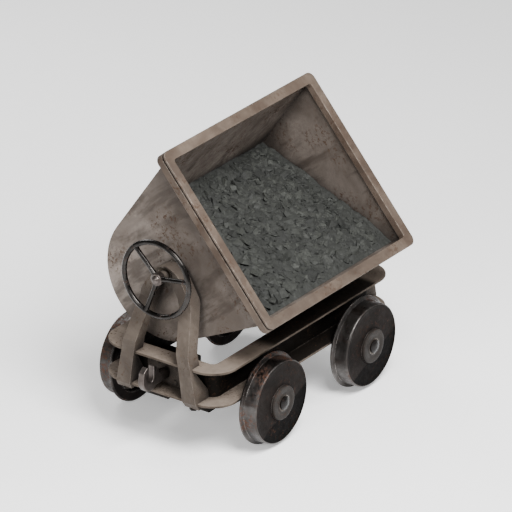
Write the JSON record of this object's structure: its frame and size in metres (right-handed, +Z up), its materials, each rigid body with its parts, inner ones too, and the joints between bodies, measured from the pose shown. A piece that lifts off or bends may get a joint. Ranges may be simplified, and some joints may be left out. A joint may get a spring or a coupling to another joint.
{
  "type": "mine cart",
  "caption": "Rail tub on a bent channel frame: round-bottomed body tipping on end trunnions with a handwheel, flanged wheels, draw hooks and a load of broken ore.",
  "frame": {"origin": "centre of the wheelbase, on the track's centre line, at the level of the lowest points of the wheel flanges", "axes": "+X along the rails, away from the handwheel end; +Y level across the track, away from the side the tub is tipped to; +Z up"},
  "size_m": [1.312, 0.7962, 1.1042],
  "materials": {
    "frame_paint": "worn matt paint over steel plate, rust freckled",
    "wheel_iron": "oily cast iron, treads worn bright",
    "polished_steel": "hand-polished forged steel",
    "dark_steel": "dark oily steel",
    "bearing_bronze": "dull bearing bronze",
    "broken_ore": "dull broken rock, opaque"
  },
  "bodies": {
    "chassis": {"channel_ring": "frame_paint", "truck_plate_front_near": "dark_steel", "truck_plate_front_far": "dark_steel", "truck_plate_rear_near": "dark_steel", "truck_plate_rear_far": "dark_steel", "axle_block_front_near": "dark_steel", "axle_block_front_far": "dark_steel", "axle_block_rear_near": "dark_steel", "axle_block_rear_far": "dark_steel", "trestle_front": "frame_paint", "trestle_rear": "frame_paint", "draw_pad_front": "frame_paint", "draw_pad_rear": "frame_paint", "block_bolts": "dark_steel", "axle_front": "dark_steel", "axle_rear": "dark_steel", "axle_collars": "dark_steel", "axle_caps": "dark_steel", "trestle_bolts": "dark_steel", "draw_pad_rivets": "dark_steel", "hook_nuts": "dark_steel", "draw_hook_front": "polished_steel", "draw_hook_rear": "polished_steel", "pivot_bush_front": "bearing_bronze", "pivot_bush_rear": "bearing_bronze"},
    "tub": {"tub_shell": "frame_paint", "tub_end_front": "frame_paint", "tub_end_rear": "frame_paint", "rim_lip": "frame_paint", "rim_band": "frame_paint", "trunnion_front": "dark_steel", "trunnion_rear": "dark_steel", "trunnion_rivets": "dark_steel", "trunnion_collar": "dark_steel", "handwheel_boss": "polished_steel", "handwheel_key": "dark_steel", "handwheel_nut": "polished_steel", "handwheel_ring": "polished_steel", "handwheel_spokes": "polished_steel", "ore_load": "broken_ore"},
    "wheel_set_front_near": {"wheel_front_near": "wheel_iron", "wheel_bush_front_near": "bearing_bronze", "hub_plate_front_near": "wheel_iron"},
    "wheel_set_front_far": {"wheel_front_far": "wheel_iron", "wheel_bush_front_far": "bearing_bronze", "hub_plate_front_far": "wheel_iron"},
    "wheel_set_rear_near": {"wheel_rear_near": "wheel_iron", "wheel_bush_rear_near": "bearing_bronze", "hub_plate_rear_near": "wheel_iron"},
    "wheel_set_rear_far": {"wheel_rear_far": "wheel_iron", "wheel_bush_rear_far": "bearing_bronze", "hub_plate_rear_far": "wheel_iron"}
  },
  "joints": [
    {"name": "tub_tilt", "type": "hinge", "parent": "chassis", "child": "tub", "pos_m": [0, 0, 0.668], "axis": [1, 0, 0], "range_deg": [-119.7, 20.3]},
    {"name": "wheel_front_near_spin", "type": "hinge", "parent": "chassis", "child": "wheel_set_front_near", "pos_m": [-0.283, 0, 0.174], "axis": [0, 1, 0], "continuous": true},
    {"name": "wheel_front_far_spin", "type": "hinge", "parent": "chassis", "child": "wheel_set_front_far", "pos_m": [-0.283, 0, 0.174], "axis": [0, 1, 0], "continuous": true},
    {"name": "wheel_rear_near_spin", "type": "hinge", "parent": "chassis", "child": "wheel_set_rear_near", "pos_m": [0.283, 0, 0.174], "axis": [0, 1, 0], "continuous": true},
    {"name": "wheel_rear_far_spin", "type": "hinge", "parent": "chassis", "child": "wheel_set_rear_far", "pos_m": [0.283, 0, 0.174], "axis": [0, 1, 0], "continuous": true}
  ]
}
